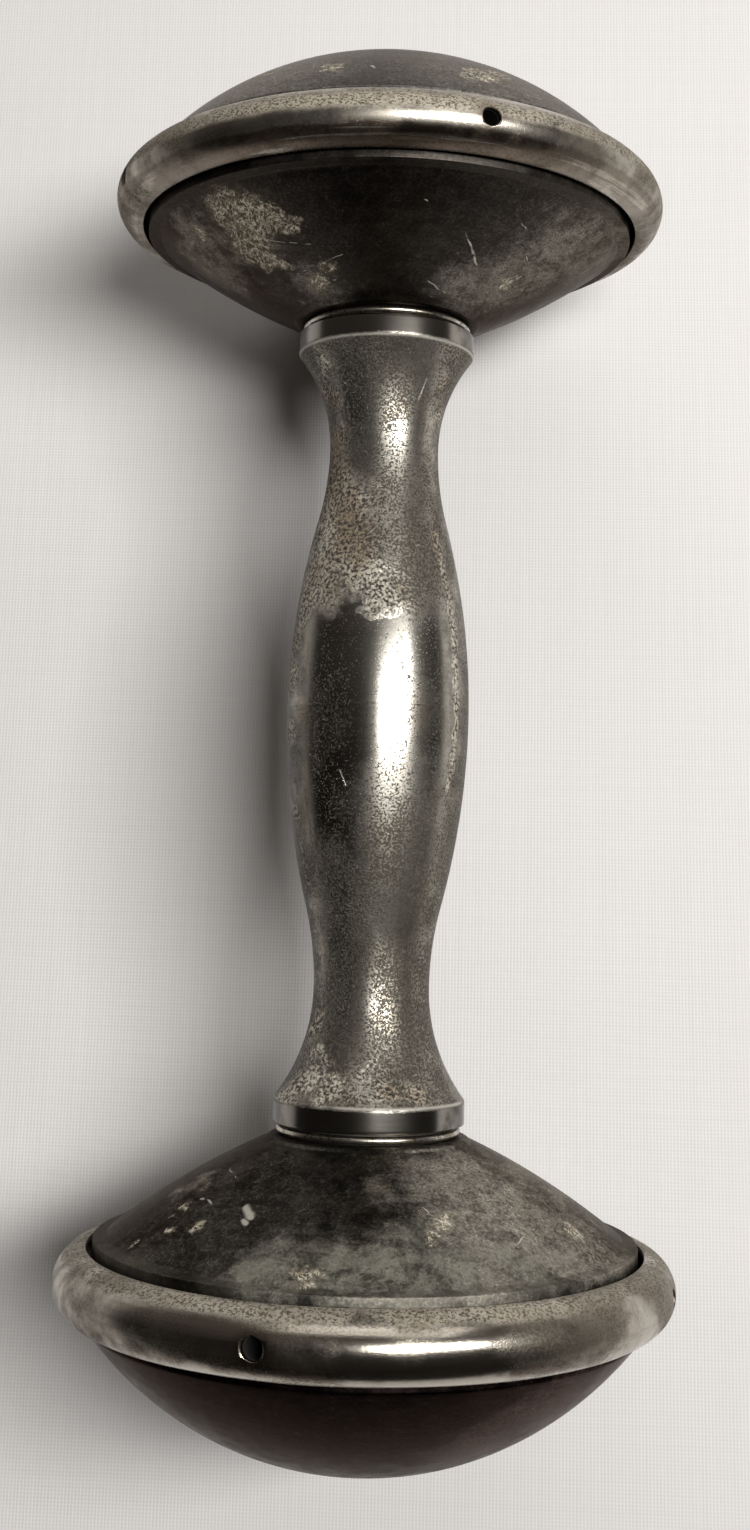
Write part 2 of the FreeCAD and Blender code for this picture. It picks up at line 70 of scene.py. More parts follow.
# Shapes inside those boxes, as in the design. The swell and the waist are each a radius and a place.
BAND = 3.0 * MM
BELLY_RADIUS = 12.9 * MM
SWELL = (9.36 * MM, 27.0 * MM)
WAIST = (7.95 * MM, 37.8 * MM)
GRIP_WALL = 0.8 * MM
GONG_WALL = 0.9 * MM
CROWN_RADIUS = 12.4 * MM
NECK_RADIUS = 13.9 * MM
SHOULDER_RADIUS = 34.4 * MM
CONE_BULGE = 0.7 * MM
DOME_RADIUS = 47.4 * MM
POLE_FLAT = 4.2 * MM
RING_WALL = 0.7 * MM
RING_LIP = RING_RADIUS - RING_HALF
HOLE_RADIUS = 1.35 * MM
ROD_BORE = 2.55 * MM
SCREW_BORE = 1.65 * MM
SPOKE_ANGLES = {"a": (22.0, 113.0, 202.0, 293.0), "b": (345.5, 259.5, 165.5, 79.5)}


# ------------------------------------------------------------------ outlines

def arc(first, through, last, steps=12):
    """Points of the arc from first to last through a third point, without the last one."""
    (ax, ay), (bx, by), (cx, cy) = first, through, last
    a_square, b_square, c_square = (x * x + y * y for x, y in (first, through, last))
    twice = 2 * (ax * (by - cy) + bx * (cy - ay) + cx * (ay - by))
    centre_x = (a_square * (by - cy) + b_square * (cy - ay) + c_square * (ay - by)) / twice
    centre_y = (a_square * (cx - bx) + b_square * (ax - cx) + c_square * (bx - ax)) / twice
    radius = math.hypot(ax - centre_x, ay - centre_y)
    start, middle, end = (math.atan2(y - centre_y, x - centre_x) for x, y in (first, through, last))
    turn = (end - start) % (2 * math.pi)
    if (middle - start) % (2 * math.pi) > turn:
        turn -= 2 * math.pi
    angles = [start + turn * i / steps for i in range(steps)]
    return [(centre_x + radius * math.cos(angle), centre_y + radius * math.sin(angle)) for angle in angles]


def line(first, last, spacing=0.8 * MM):
    """Points along a straight stretch, without the last one."""
    length = math.dist(first, last)
    steps = max(1, round(length / spacing))
    return [(first[0] + (last[0] - first[0]) * i / steps, first[1] + (last[1] - first[1]) * i / steps)
            for i in range(steps)]


def halfway(level, end):
    """The middle of the arc that starts level at one (radius, place) and ends at another."""
    rise = end[0] - level[0]
    half_run = (end[1] - level[1]) / 2
    bend = (4 * half_run ** 2 + rise ** 2) / (2 * rise)
    drop = bend - math.copysign(math.sqrt(bend ** 2 - half_run ** 2), bend)
    return level[0] + drop, level[1] + half_run


def soften(points, radius, sharper_than=25.0):
    """Round every corner of a closed outline that turns by more than an angle, as a worn edge is."""
    result = []
    steps = 4
    for before, point, after in zip(points[-1:] + points, points, points[1:] + points[:1]):
        here = Vector(point)
        into = here - Vector(before)
        out = Vector(after) - here
        if into.length == 0 or out.length == 0 or math.degrees(into.angle(out)) < sharper_than:
            result.append(point)
            continue
        reach = min(radius, into.length * 0.45, out.length * 0.45)
        start = here - into.normalized() * reach
        end = here + out.normalized() * reach
        for share in (step / steps for step in range(steps + 1)):
            rest = 1 - share
            result.append(tuple(start * rest ** 2 + here * 2 * share * rest + end * share ** 2))
    return result


# ------------------------------------------------------------------ meshes

def new_object(name, data):
    thing = bpy.data.objects.new(name, data)
    bpy.context.scene.collection.objects.link(thing)
    return thing


def finish_mesh(mesh):
    """Point all faces outwards and shade them smooth."""
    builder = bmesh.new()
    builder.from_mesh(mesh)
    bmesh.ops.recalc_face_normals(builder, faces=builder.faces)
    builder.to_mesh(mesh)
    builder.free()
    mesh.polygons.foreach_set("use_smooth", [True] * len(mesh.polygons))
    mesh.update()


def built(name, builder):
    """An object from a built mesh, with its faces outwards and smooth."""
    mesh = bpy.data.meshes.new(name)
    builder.to_mesh(mesh)
    builder.free()
    finish_mesh(mesh)
    return new_object(name, mesh)


def lathe(name, outline, segments, side=1.0, shape=None):
    """Turn a closed outline of (radius, place) about the axis; shape(radius, place, angle) may move it."""
    rows = len(outline)
    radius = np.array([point[0] for point in outline])[:, None] * np.ones((1, segments))
    place = np.array([point[1] for point in outline])[:, None] * np.ones((1, segments))
    angle = np.ones((rows, 1)) * (2 * np.pi * np.arange(segments) / segments)[None, :]
    if shape:
        radius, place = shape(radius, place, angle)
    verts = np.stack([radius * np.sin(angle), side * place, AXIS_HEIGHT + radius * np.cos(angle)], axis=2)
    index = np.arange(rows * segments).reshape(rows, segments)
    across = np.roll(index, -1, axis=1)
    faces = np.stack([index, across, np.roll(across, -1, axis=0), np.roll(index, -1, axis=0)], axis=2)
    mesh = bpy.data.meshes.new(name)
    mesh.from_pydata(verts.reshape(-1, 3).tolist(), [], faces.reshape(-1, 4).tolist())
    finish_mesh(mesh)
    return new_object(name, mesh)


def bar(name, radius, start, end, segments=40):
    """A round bar between two points."""
    builder = bmesh.new()
    span = Vector(end) - Vector(start)
    turn = span.to_track_quat("Z", "Y").to_matrix().to_4x4()
    where = Matrix.Translation((Vector(start) + Vector(end)) / 2) @ turn
    bmesh.ops.create_cone(builder, cap_ends=True, segments=segments, radius1=radius, radius2=radius,
                          depth=span.length, matrix=where)
    return built(name, builder)


def subtract(thing, cutters):
    """Cut the cutters out of a thing for good, and remove them."""
    for cutter in cutters:
        modifier = thing.modifiers.new("cut", "BOOLEAN")
        modifier.operation = "DIFFERENCE"
        modifier.solver = "EXACT"
        modifier.object = cutter
    graph = bpy.context.evaluated_depsgraph_get()
    mesh = bpy.data.meshes.new_from_object(thing.evaluated_get(graph))
    thing.modifiers.clear()
    thing.data = mesh
    for cutter in cutters:
        bpy.data.objects.remove(cutter)


def outward(angle, distance, place):
    """A point at an angle round the axis, a distance from it, and a place along it."""
    turn = math.radians(angle)
    return Vector((distance * math.sin(turn), place, AXIS_HEIGHT + distance * math.cos(turn)))


def wavy(amount, seed):
    """A gentle unevenness of a hand-finished shell: a few long waves round and along it."""
    chance = random.Random(seed)
    waves = [(chance.choice((1, 2, 3, 4, 5)), chance.uniform(40, 160), chance.uniform(0, 6.28),
              chance.uniform(0, 6.28)) for _ in range(6)]

    def shape(radius, place, angle):
        swell = sum(np.sin(count * angle + start) * np.sin(rate * place + phase)
                    for count, rate, start, phase in waves)
        return radius + amount * swell / len(waves), place

    return shape


def dented(base, dents, outside):
    """Add dents, each (place, angle, size, depth), to the radii that outside picks as the skin's."""
    def shape(radius, place, angle):
        new_radius, new_place = base(radius, place, angle)
        for where, turn, size, depth in dents:
            gap = np.angle(np.exp(1j * (angle - math.radians(turn)))) * radius
            near = np.exp(-(gap ** 2 + (place - where) ** 2) / (2 * size ** 2))
            new_radius = new_radius - depth * near * outside(radius, place)
        return new_radius, new_place

    return shape


# ------------------------------------------------------------------ the pieces' outlines

def grip_outline():
    middle = (BELLY_RADIUS, 0.0)
    brim = (FLARE_RADIUS, GRIP_END - BAND)
    route = (middle, halfway(middle, SWELL), SWELL, halfway(WAIST, SWELL), WAIST, halfway(WAIST, brim),
             brim)

    def skin(inset):
        belly, bulge, swell, dip, waist, bell, flare = ((radius - inset, place) for radius, place in route)
        end = (flare[0], GRIP_END)
        return ([belly, (belly[0], 0.1 * MM)] + arc(belly, bulge, swell, 44)[1:]
                + arc(swell, dip, waist, 20) + arc(waist, bell, flare, 30) + line(flare, end, 0.5 * MM)
                + [end])

    return soften(skin(0.0) + skin(GRIP_WALL)[::-1], 0.25 * MM, 20)


def plug_outline():
    groove_radius = 11.7 * MM
    bead_start = GRIP_END + 0.4 * MM
    bead_end = bead_start + 0.9 * MM
    spigot = FLARE_RADIUS - GRIP_WALL - 0.05 * MM
    bead_middle = (bead_start + bead_end) / 2
    bead_radius = 12.45 * MM
    points = (line((ROD_BORE, PLUG_LOW.y), (spigot, PLUG_LOW.y), 2 * MM)
              + line((spigot, PLUG_LOW.y), (spigot, GRIP_END), 1 * MM)
              + [(spigot, GRIP_END), (groove_radius, GRIP_END)]
              + arc((groove_radius, bead_start), (bead_radius, bead_middle), (groove_radius, bead_end), 14)
              + [(groove_radius, bead_end), (groove_radius, PLUG_HIGH.y), (ROD_BORE, PLUG_HIGH.y)])
    return soften(points, 0.08 * MM, 60)


def inner_gong_outline():
    face = INNER_LOW.y
    rim = INNER_HIGH.y
    neck = (NECK_RADIUS, face + 0.6 * MM)
    shoulder = (SHOULDER_RADIUS, face + 12.6 * MM)
    ledge = (INNER_HIGH.x, shoulder[1] + 0.3 * MM)
    bulge = ((neck[0] + shoulder[0]) / 2 + CONE_BULGE * 0.55,
             (neck[1] + shoulder[1]) / 2 - CONE_BULGE * 0.84)
    lean = GONG_WALL * 1.2
    inner_shoulder = (shoulder[0] - GONG_WALL * 0.3, shoulder[1] + lean * 0.9)
    inner_neck = (neck[0] - GONG_WALL * 0.4, neck[1] + lean * 0.7)
    inner_rim = (ledge[0] - GONG_WALL, rim)
    inner_ledge = (inner_rim[0], ledge[1] + GONG_WALL)
    inner_bulge = (bulge[0], bulge[1] + lean)
    crown = (CROWN_RADIUS, face)
    inner_crown = (CROWN_RADIUS, face + GONG_WALL)
    round_crown = ((crown[0] + neck[0]) / 2 + 0.2 * MM, face + 0.18 * MM)
    points = (line((ROD_BORE, face), crown, 2 * MM) + arc(crown, round_crown, neck, 6)
              + arc(neck, bulge, shoulder, 44) + line(shoulder, ledge, 0.4 * MM)
              + line(ledge, (ledge[0], rim)) + [(ledge[0], rim)]
              + line(inner_rim, inner_ledge) + line(inner_ledge, inner_shoulder)
              + arc(inner_shoulder, inner_bulge, inner_neck, 30)
              + line(inner_neck, inner_crown) + line(inner_crown, (ROD_BORE, inner_crown[1]), 2 * MM)
              + [(ROD_BORE, inner_crown[1])])
    return soften(points, 0.22 * MM, 18)


def outer_gong_outline():
    centre = OUTER_HIGH.y - math.sqrt(DOME_RADIUS ** 2 - POLE_FLAT ** 2)
    inside = DOME_RADIUS - GONG_WALL
    rim = OUTER_HIGH.x
    inner_rim = rim - GONG_WALL

    def on_dome(radius, sphere):
        return radius, centre + math.sqrt(sphere ** 2 - radius ** 2)

    middle = (POLE_FLAT + rim) * 0.57
    brim = on_dome(rim, DOME_RADIUS)
    inner_pole = on_dome(POLE_FLAT, inside)
    inner_bore = (SCREW_BORE, inner_pole[1])
    points = ([(SCREW_BORE, OUTER_HIGH.y)]
              + line((SCREW_BORE * 1.3, OUTER_HIGH.y), (POLE_FLAT, OUTER_HIGH.y))
              + arc(on_dome(POLE_FLAT, DOME_RADIUS), on_dome(middle, DOME_RADIUS), brim, 60)
              + line(brim, (rim, OUTER_LOW.y)) + [(rim, OUTER_LOW.y), (inner_rim, OUTER_LOW.y)]
              + arc(on_dome(inner_rim, inside), on_dome(middle, inside), inner_pole, 40)
              + line(inner_pole, inner_bore) + [inner_bore])
    return soften(points, 0.22 * MM, 18)


def ring_outline():
    """A half-round channel, open towards the axis."""
    def skin(inset):
        reach = RING_HALF - inset
        return (arc((RING_LIP, RING_PLACE - reach), (RING_RADIUS - inset, RING_PLACE),
                    (RING_LIP, RING_PLACE + reach), 48) + [(RING_LIP, RING_PLACE + reach)])

    return soften(skin(0.0) + skin(RING_WALL)[::-1], 0.2 * MM, 40)


def screw_outline():
    seat = OUTER_HIGH.y
    top = SCREW_HIGH.y
    radius = SCREW_HIGH.x
    shank = 1.5 * MM
    axis = 0.02 * MM
    point_end = (shank, SCREW_LOW.y + 0.5 * MM)
    return ([(axis, SCREW_LOW.y)] + line((shank * 0.7, SCREW_LOW.y), point_end)
            + line(point_end, (shank, seat), 0.5 * MM) + [(shank, seat)]
            + arc((radius, seat), (radius * 0.72, seat + (top - seat) * 0.62), (axis, top), 16)
            + [(axis, top)])


# ------------------------------------------------------------------ material graphs

class Graph:
    """The shader nodes of one material. A value may be a number, a colour or another node's output."""

    def __init__(self, name, metallic=1.0):
        self.material = bpy.data.materials.new(name)
        self.material.use_nodes = True
        self.tree = self.material.node_tree
        self.shader = self.tree.nodes["Principled BSDF"]
        self.shader.inputs["Metallic"].default_value = metallic
        self.point = self.add("TexCoord").outputs["Object"]
        self.from_axis = self.vector("SUBTRACT", self.point, (0.0, 0.0, AXIS_HEIGHT))

    def add(self, kind, **settings):
        node = self.tree.nodes.new("ShaderNode" + kind)
        for name, value in settings.items():
            setattr(node, name, value)
        return node

    def put(self, socket, value):
        if isinstance(value, bpy.types.NodeSocket):
            self.tree.links.new(value, socket)
        elif socket.type == "RGBA":
            socket.default_value = (*value, 1.0)
        else:
            socket.default_value = value

    def math(self, operation, *values):
        node = self.add("Math", operation=operation)
        for socket, value in zip(node.inputs, values):
            self.put(socket, value)
        return node.outputs[0]

    def vector(self, operation, *values):
        node = self.add("VectorMath", operation=operation)
        for socket, value in zip(node.inputs, values):
            self.put(socket, value)
        scalar = operation in ("LENGTH", "DISTANCE", "DOT_PRODUCT")
        return node.outputs["Value" if scalar else "Vector"]

    def scaled(self, along, across):
        """The place in the object, scaled by one number along the axis and another across it."""
        return self.vector("MULTIPLY", self.from_axis, (across, along, across))

    def noise(self, where, scale=1.0, detail=3.0, roughness=0.55, colour=False):
        node = self.add("TexNoise", normalize=True)
        self.put(node.inputs["Vector"], where)
        for name, value in (("Scale", scale), ("Detail", detail), ("Roughness", roughness)):
            node.inputs[name].default_value = value
        return node.outputs["Color" if colour else "Fac"]

    def cells(self, where, scale, feature="F1"):
        node = self.add("TexVoronoi", feature=feature)
        self.put(node.inputs["Vector"], where)
        node.inputs["Scale"].default_value = scale
        return node.outputs["Distance"]

    def rise(self, value, low, high):
        """0 below low, 1 above high and smooth between; low above high turns it round."""
        node = self.add("MapRange", interpolation_type="SMOOTHSTEP")
        self.put(node.inputs["Value"], value)
        self.put(node.inputs["From Min"], low)
        self.put(node.inputs["From Max"], high)
        return node.outputs["Result"]

    def mix(self, amount, first, second):
        node = self.add("Mix", data_type="RGBA")
        self.put(node.inputs["Factor"], amount)
        self.put(node.inputs[6], first)
        self.put(node.inputs[7], second)
        return node.outputs[2]

    def coats(self, colour, *coats):
        """A colour under some coats, the last on top. Each is (where, how strong, its colour)."""
        for where, strength, coat in coats:
            colour = self.mix(self.times(where, strength), colour, coat)
        return colour

    def blend(self, amount, first, second):
        node = self.add("Mix", data_type="FLOAT")
        self.put(node.inputs[0], amount)
        self.put(node.inputs[2], first)
        self.put(node.inputs[3], second)
        return node.outputs[0]

    def chain(self, operation, values):
        """Several values, joined one after another by an operation."""
        result, *others = values
        for value in others:
            result = self.math(operation, result, value)
        return result

    def plus(self, *values):
        return self.chain("ADD", values)

    def times(self, *values):
        return self.chain("MULTIPLY", values)

    def most(self, *values):
        return self.chain("MAXIMUM", values)

    def minus(self, value, less):
        return self.math("SUBTRACT", value, less)

    def invert(self, value):
        return self.minus(1.0, value)

    def off_axis(self):
        """The distance from the dumb-bell's axis."""
        return self.vector("LENGTH", self.vector("MULTIPLY", self.from_axis, (1.0, 0.0, 1.0)))

    def moved(self, wander, reach):
        """The place in the object, moved by a coloured noise, by up to half a reach each way."""
        centred = self.vector("SUBTRACT", wander, (0.5, 0.5, 0.5))
        return self.vector("ADD", self.point, self.vector("MULTIPLY", centred, (reach, reach, reach)))

    def ragged(self, reach, scale=220.0):
        """The place in the object, moved about so that spots get uneven edges."""
        return self.moved(self.noise(self.point, scale, detail=4.0, roughness=0.6, colour=True), reach)

    def parts(self, vector):
        """The three numbers of a vector."""
        node = self.add("SeparateXYZ")
        self.put(node.inputs[0], vector)
        return node.outputs

    def band(self, value, low, high, edge):
        """1 between two values and 0 outside them."""
        return self.times(self.rise(value, low - edge, low + edge),
                          self.rise(value, high + edge, high - edge))

    def spot(self, where, centre, size, softness=0.5):
        """1 near a point and 0 away from it."""
        gap = self.vector("DISTANCE", where, centre)
        return self.rise(gap, size * (1 + softness), size * (1 - softness))

    def spots(self, where, at, marks, softness=0.5):
        """The strongest of several spots. Each is (place, angle, size), in mm and degrees."""
        return self.most(*(self.spot(where, at(place, angle), size * MM, softness)
                           for place, angle, size in marks))

    def scratch(self, where, points, width):
        """1 along a line through some points, and 0 beside it."""
        result = None
        for start, end in zip(points, points[1:]):
            run = end - start
            offset = self.vector("SUBTRACT", where, start)
            share = self.math("DIVIDE", self.vector("DOT_PRODUCT", offset, run), run.length_squared)
            share.node.use_clamp = True
            gap = self.vector("DISTANCE", offset, self.vector("MULTIPLY", run, share))
            stroke = self.rise(gap, width, width * 0.3)
            result = stroke if result is None else self.most(result, stroke)
        return result

    def scratches(self, where, at, lines):
        """The strongest of several scratches. Each is (width, then its points), in mm and degrees."""
        return self.most(*(self.scratch(where, [at(*point) for point in points], width * MM)
                           for width, *points in lines))

    def bump(self, height, distance, strength=1.0, after=None):
        node = self.add("Bump")
        node.inputs["Strength"].default_value = strength
        node.inputs["Distance"].default_value = distance
        self.put(node.inputs["Height"], height)
        if after:
            self.put(node.inputs["Normal"], after)
        return node.outputs["Normal"]

    def finish(self, colour, roughness, normal=None, metallic=None):
        self.put(self.shader.inputs["Base Color"], colour)
        self.put(self.shader.inputs["Roughness"], roughness)
        if normal:
            self.put(self.shader.inputs["Normal"], normal)
        if metallic:
            self.put(self.shader.inputs["Metallic"], metallic)
        return self.material


def skin_radius(outline, place):
    """The outer radius of a closed outline at a place."""
    crossings = []
    for first, last in zip(outline, outline[1:] + outline[:1]):
        low, high = sorted((first[1], last[1]))
        if low <= place <= high and high > low:
            crossings.append(first[0] + (last[0] - first[0]) * (place - first[1]) / (last[1] - first[1]))
    return max(crossings)


def on_skin(outline, side):
    """A way to name points on a turned skin by place, in mm, and angle."""
    def point(place, angle):
        return outward(angle, skin_radius(outline, place * MM), side * place * MM)

    return point


# ------------------------------------------------------------------ materials

WARM_SILVER = (0.56, 0.52, 0.455)
DARK_TARNISH = (0.045, 0.036, 0.026)
CLEAN_STEEL = (0.42, 0.41, 0.39)
DULL_STEEL = (0.20, 0.185, 0.165)


def ring_nickel(head, side):
    g = Graph(f"ring_nickel_{head}")
    spread = g.noise(g.scaled(110.0, 110.0), detail=5.0, roughness=0.6)
    streak = g.noise(g.scaled(1500.0, 40.0), detail=4.0)
    grain = g.noise(g.scaled(3400.0, 2600.0), roughness=0.7)
    blotch = g.noise(g.point, 900.0, detail=4.0, roughness=0.65)
    place = g.parts(g.ragged(1.2 * MM, 160.0))["Y"]
    aside = g.minus(g.times(place, side), RING_PLACE)
    # the last mask in each branch is a painted reflection: a dark brown band where the ring's side mirrors
    # the dark room, on the cone side of head a and the dome side of head b
    if head == "a":
        polish = 0.24
        thickness = 0.75
        clear = g.band(aside, -1.8 * MM, -0.4 * MM, 0.3 * MM)
        speckled = g.band(aside, 0.2 * MM, 2.4 * MM, 0.5 * MM)
        dark_reflection_band = g.times(g.band(aside, -4.6 * MM, -1.9 * MM, 0.3 * MM), g.rise(streak, 0.60, 0.54))
    else:
        polish = 0.16
        thickness = 0.6
        clear = g.band(aside, -2.4 * MM, 1.4 * MM, 0.5 * MM)
        speckled = g.band(aside, -4.6 * MM, -2.9 * MM, 0.4 * MM)
        dark_reflection_band = g.times(g.band(aside, 1.6 * MM, 3.1 * MM, 0.5 * MM), g.rise(spread, 0.38, 0.55))
    layer = g.times(speckled, g.rise(spread, 0.30, 0.48), thickness)
    film = g.rise(spread, 0.40, 0.64)
    # painted shade: ends is 1 at the ring's two sides (+-X), where the real tarnish film is laid on
    # thicker, the dirt share is raised and a darker coat is added
    ends = g.rise(g.math("ABSOLUTE", g.parts(g.point)["X"]), 15 * MM, 34 * MM)
    dirt_and_shade = g.most(g.times(speckled, 0.9), g.times(film, g.blend(ends, 0.6, 0.95)))
    dirt_and_shade = g.times(dirt_and_shade, g.invert(g.times(clear, g.blend(ends, 0.75, 0.3))))
    specks = g.times(g.rise(grain, 0.49, 0.58), g.plus(0.15, dirt_and_shade))
    specks.node.use_clamp = True
    stains = g.times(g.rise(blotch, 0.50, 0.62), dirt_and_shade)
    # painted shade: darker, rougher patches towards the ring's ends
    dull = g.times(ends, g.rise(spread, 0.26, 0.56))
    colour = g.coats(
        WARM_SILVER,
        # tarnish film, thicker towards the ends as painted shade
        (film, g.blend(ends, 0.4, 0.9), (0.34, 0.295, 0.23)),
        (g.rise(streak, 0.52, 0.68), 0.4, (0.32, 0.265, 0.20)),
        (layer, 1.0, (0.50, 0.45, 0.35)),
        (stains, 0.6, (0.20, 0.165, 0.105)),
        # painted reflection of the dark room, weaker towards the ends
        (dark_reflection_band, g.blend(ends, 0.85, 0.6), (0.115, 0.080, 0.058)),
        (specks, 0.8, DARK_TARNISH),
        (dull, 0.62, (0.135, 0.115, 0.088)))
    for angle in SPOKE_ANGLES[head]:
        halo = g.spot(g.point, outward(angle, RING_RADIUS, side * RING_PLACE), 2.2 * MM)
        colour = g.coats(colour, (halo, g.times(g.rise(spread, 0.30, 0.55), 0.75), (0.13, 0.10, 0.07)))
    rough = g.plus(polish, g.times(film, 0.08), g.times(dirt_and_shade, 0.12), g.times(specks, 0.2),
                   g.times(layer, 0.25), g.times(dull, 0.14))
    height = g.minus(g.times(streak, 0.4), g.times(g.most(specks, stains), 0.7))
    metal = g.invert(g.times(layer, 0.75))
    return g.finish(colour, rough, g.bump(height, 0.03 * MM, 0.5), metal)


def grip_nickel(head, side):
    g = Graph(f"grip_nickel_{head}")
    at = on_skin(grip_outline(), side)
    ragged = g.ragged(8 * MM)
    clouds = g.noise(g.scaled(70.0, 120.0), detail=5.0)
    along = g.noise(g.scaled(90.0, 1700.0))
    around = g.noise(g.scaled(2100.0, 130.0))
    grain = g.noise(g.point, 3300.0, roughness=0.7)
    grit = g.noise(g.point, 2100.0, detail=5.0, roughness=0.75)
    if head == "a":
        bright = (0.48, 0.46, 0.41)
        dull = (0.24, 0.21, 0.165)
        shadow = 0.55
        strips = [(1.2, (24, 52), (17, 57), (9, 60), (0.1, 60)), (1.1, (20, -66), (11, -64))]
        crust_marks = [(32, -56, 4.4), (27, -46, 5.4), (22, -38, 5.2), (17.5, -47, 4.8), (14.5, -58, 3.6),
                       (18.5, -14, 3), (15.5, 4, 2.6), (9, -70, 2.4), (4, -68, 2.4), (38, -62, 3),
                       (46, -64, 2.6), (50, -52, 1.8), (43, 64, 1.6), (47, 60, 1.4), (24, 178, 6),
                       (12, 150, 4)]
        pitting_marks = [(45, 0, 9), (36, -10, 8), (31, 20, 6), (23, 14, 8), (18, 34, 6), (51, 40, 7),
                         (50, -50, 8), (30, -120, 12), (40, 150, 10), (12, 120, 10)]
        lines = [(0.16, (15.5, -24), (18.8, -3), (22.5, 33)), (0.14, (47, 40), (44, 36)),
                 (0.12, (24, -6), (26.5, 10)), (0.10, (30, 22), (33, 60))]
    else:
        bright = (0.42, 0.40, 0.355)
        dull = (0.19, 0.17, 0.13)
        shadow = 0.75
        strips = [(0.9, (0.1, 60), (6, 59), (11, 56)), (0.6, (18, -62), (24, -58))]
        crust_marks = [(49.5, -48, 2.6), (51, -26, 2.2), (52, -60, 2.4), (50.2, 12, 1.8), (50.5, 34, 1.8),
                       (47, 0, 1.2), (43, -62, 1.8), (46, -40, 1.6), (2.5, -70, 2), (15, -66, 1.4),
                       (30, 172, 5), (15, 190, 4)]
        pitting_marks = [(47, 30, 8), (48, -30, 9), (38, -40, 7), (26, -30, 8), (14, 20, 7), (24, 20, 6),
                         (36, 40, 6), (30, 130, 12), (45, 180, 10)]
        lines = [(0.14, (47, -5), (49.2, 14), (48.2, 40)), (0.12, (9, -20), (11, -16)),
                 (0.08, (28, -30), (29, 4))]
    frayed = g.ragged(2.5 * MM, 420.0)
    aside = g.math("ABSOLUTE", g.parts(g.point)["Y"])
    band_start = GRIP_END - BAND
    band = g.rise(aside, band_start + 0.05 * MM, band_start + 0.35 * MM)
    off_band = g.invert(band)
    crust_area = g.most(g.spots(ragged, at, crust_marks), g.scratches(frayed, at, strips))
    crust_area = g.times(crust_area, off_band)
    pitting = g.spots(ragged, at, pitting_marks)
    across = g.parts(g.vector("SUBTRACT", ragged, (0.0, 0.0, AXIS_HEIGHT)))
    # painted shade: this mask is 1 on the grip's two sides (+-X as seen from above); it darkens them, and
    # also roughens them and raises the dirt share
    shaded_flank = g.rise(g.math("ABSOLUTE", g.math("DIVIDE", across["X"], g.off_axis())), 0.72, 0.98)
    scratches = g.scratches(g.point, at, lines)
    crust = g.times(crust_area, g.rise(grit, 0.47, 0.55))
    holes = g.times(crust_area, g.rise(grit, 0.482, 0.42))
    # dirt share: clouds, pitting and crust, plus the painted shade on the sides
    dirt_and_shade = g.plus(g.times(g.rise(clouds, 0.38, 0.60), 0.45), g.times(pitting, 0.45), g.times(shaded_flank, 0.45),
                  g.times(crust_area, 0.3))
    dirt_and_shade.node.use_clamp = True
    specks = g.times(g.rise(g.minus(grain, g.times(dirt_and_shade, 0.17)), 0.385, 0.32), off_band)
    blots = g.times(g.rise(grit, 0.42, 0.36), dirt_and_shade, off_band)
    film = g.rise(clouds, 0.40, 0.62)
    # painted shade, darker still on the grip's left side (-X)
    left_flank_shade = g.times(shaded_flank, g.rise(across["X"], -2.0 * MM, -7.0 * MM))
    edge = g.times(g.band(aside, band_start - 0.25 * MM, band_start + 0.05 * MM, 0.15 * MM),
                   g.rise(clouds, 0.36, 0.50))
    colour = g.coats(
        bright,
        (film, 0.75, dull),
        # painted shade: the grip's left side (-X), away from the window lamp, darkened by the shadow
        # share, more strongly on head b
        (g.rise(across["X"], 1.0 * MM, -8.0 * MM), shadow, (0.15, 0.13, 0.105)),
        (g.rise(around, 0.48, 0.70), 0.35, (0.22, 0.195, 0.155)),
        (g.rise(along, 0.5, 0.72), 0.25, (0.50, 0.48, 0.43)),
        # painted shade on the grip's sides
        (shaded_flank, 0.72, (0.17, 0.155, 0.13)),
        # painted shade on the grip's left side
        (left_flank_shade, 0.7, (0.060, 0.052, 0.043)),
        (g.times(pitting, g.rise(grit, 0.46, 0.60)), 0.5, (0.52, 0.48, 0.40)),
        (specks, 0.85, (0.050, 0.042, 0.034)),
        (blots, 0.8, (0.075, 0.055, 0.038)),
        (crust, 0.9, g.mix(g.rise(clouds, 0.44, 0.66), (0.78, 0.72, 0.60), (0.42, 0.33, 0.23))),
        (holes, 0.95, (0.028, 0.022, 0.016)),
        # the end band's own colour, its sides darkened with painted shade
        (band, 0.92, g.mix(shaded_flank, (0.30, 0.285, 0.255), (0.030, 0.026, 0.022))),
        (g.most(scratches, edge), 0.7, (0.80, 0.77, 0.70)))
    rough = g.plus(0.22, g.times(film, 0.08), g.times(pitting, 0.09), g.times(shaded_flank, 0.16))
    rough = g.blend(g.times(band, 0.9), rough, 0.17)
    rough = g.plus(rough, g.times(g.most(crust_area, g.times(specks, 0.5), edge), 0.25))
    # non-metal share: crust, holes and specks, plus the painted shade on the left side
    matt_and_shade = g.most(crust, holes, g.times(specks, 0.5), g.times(left_flank_shade, 0.6))
    metal = g.invert(g.times(matt_and_shade, 0.75))
    height = g.minus(g.times(grit, crust_area, 3.0), g.times(g.most(specks, holes), 0.8))
    height = g.minus(height, g.times(scratches, 1.5))
    fine = g.bump(g.plus(g.times(around, 0.3), g.times(grain, 0.25)), 0.03 * MM, 0.5)
    return g.finish(colour, rough, g.bump(height, 0.10 * MM, 0.8, fine), metal)


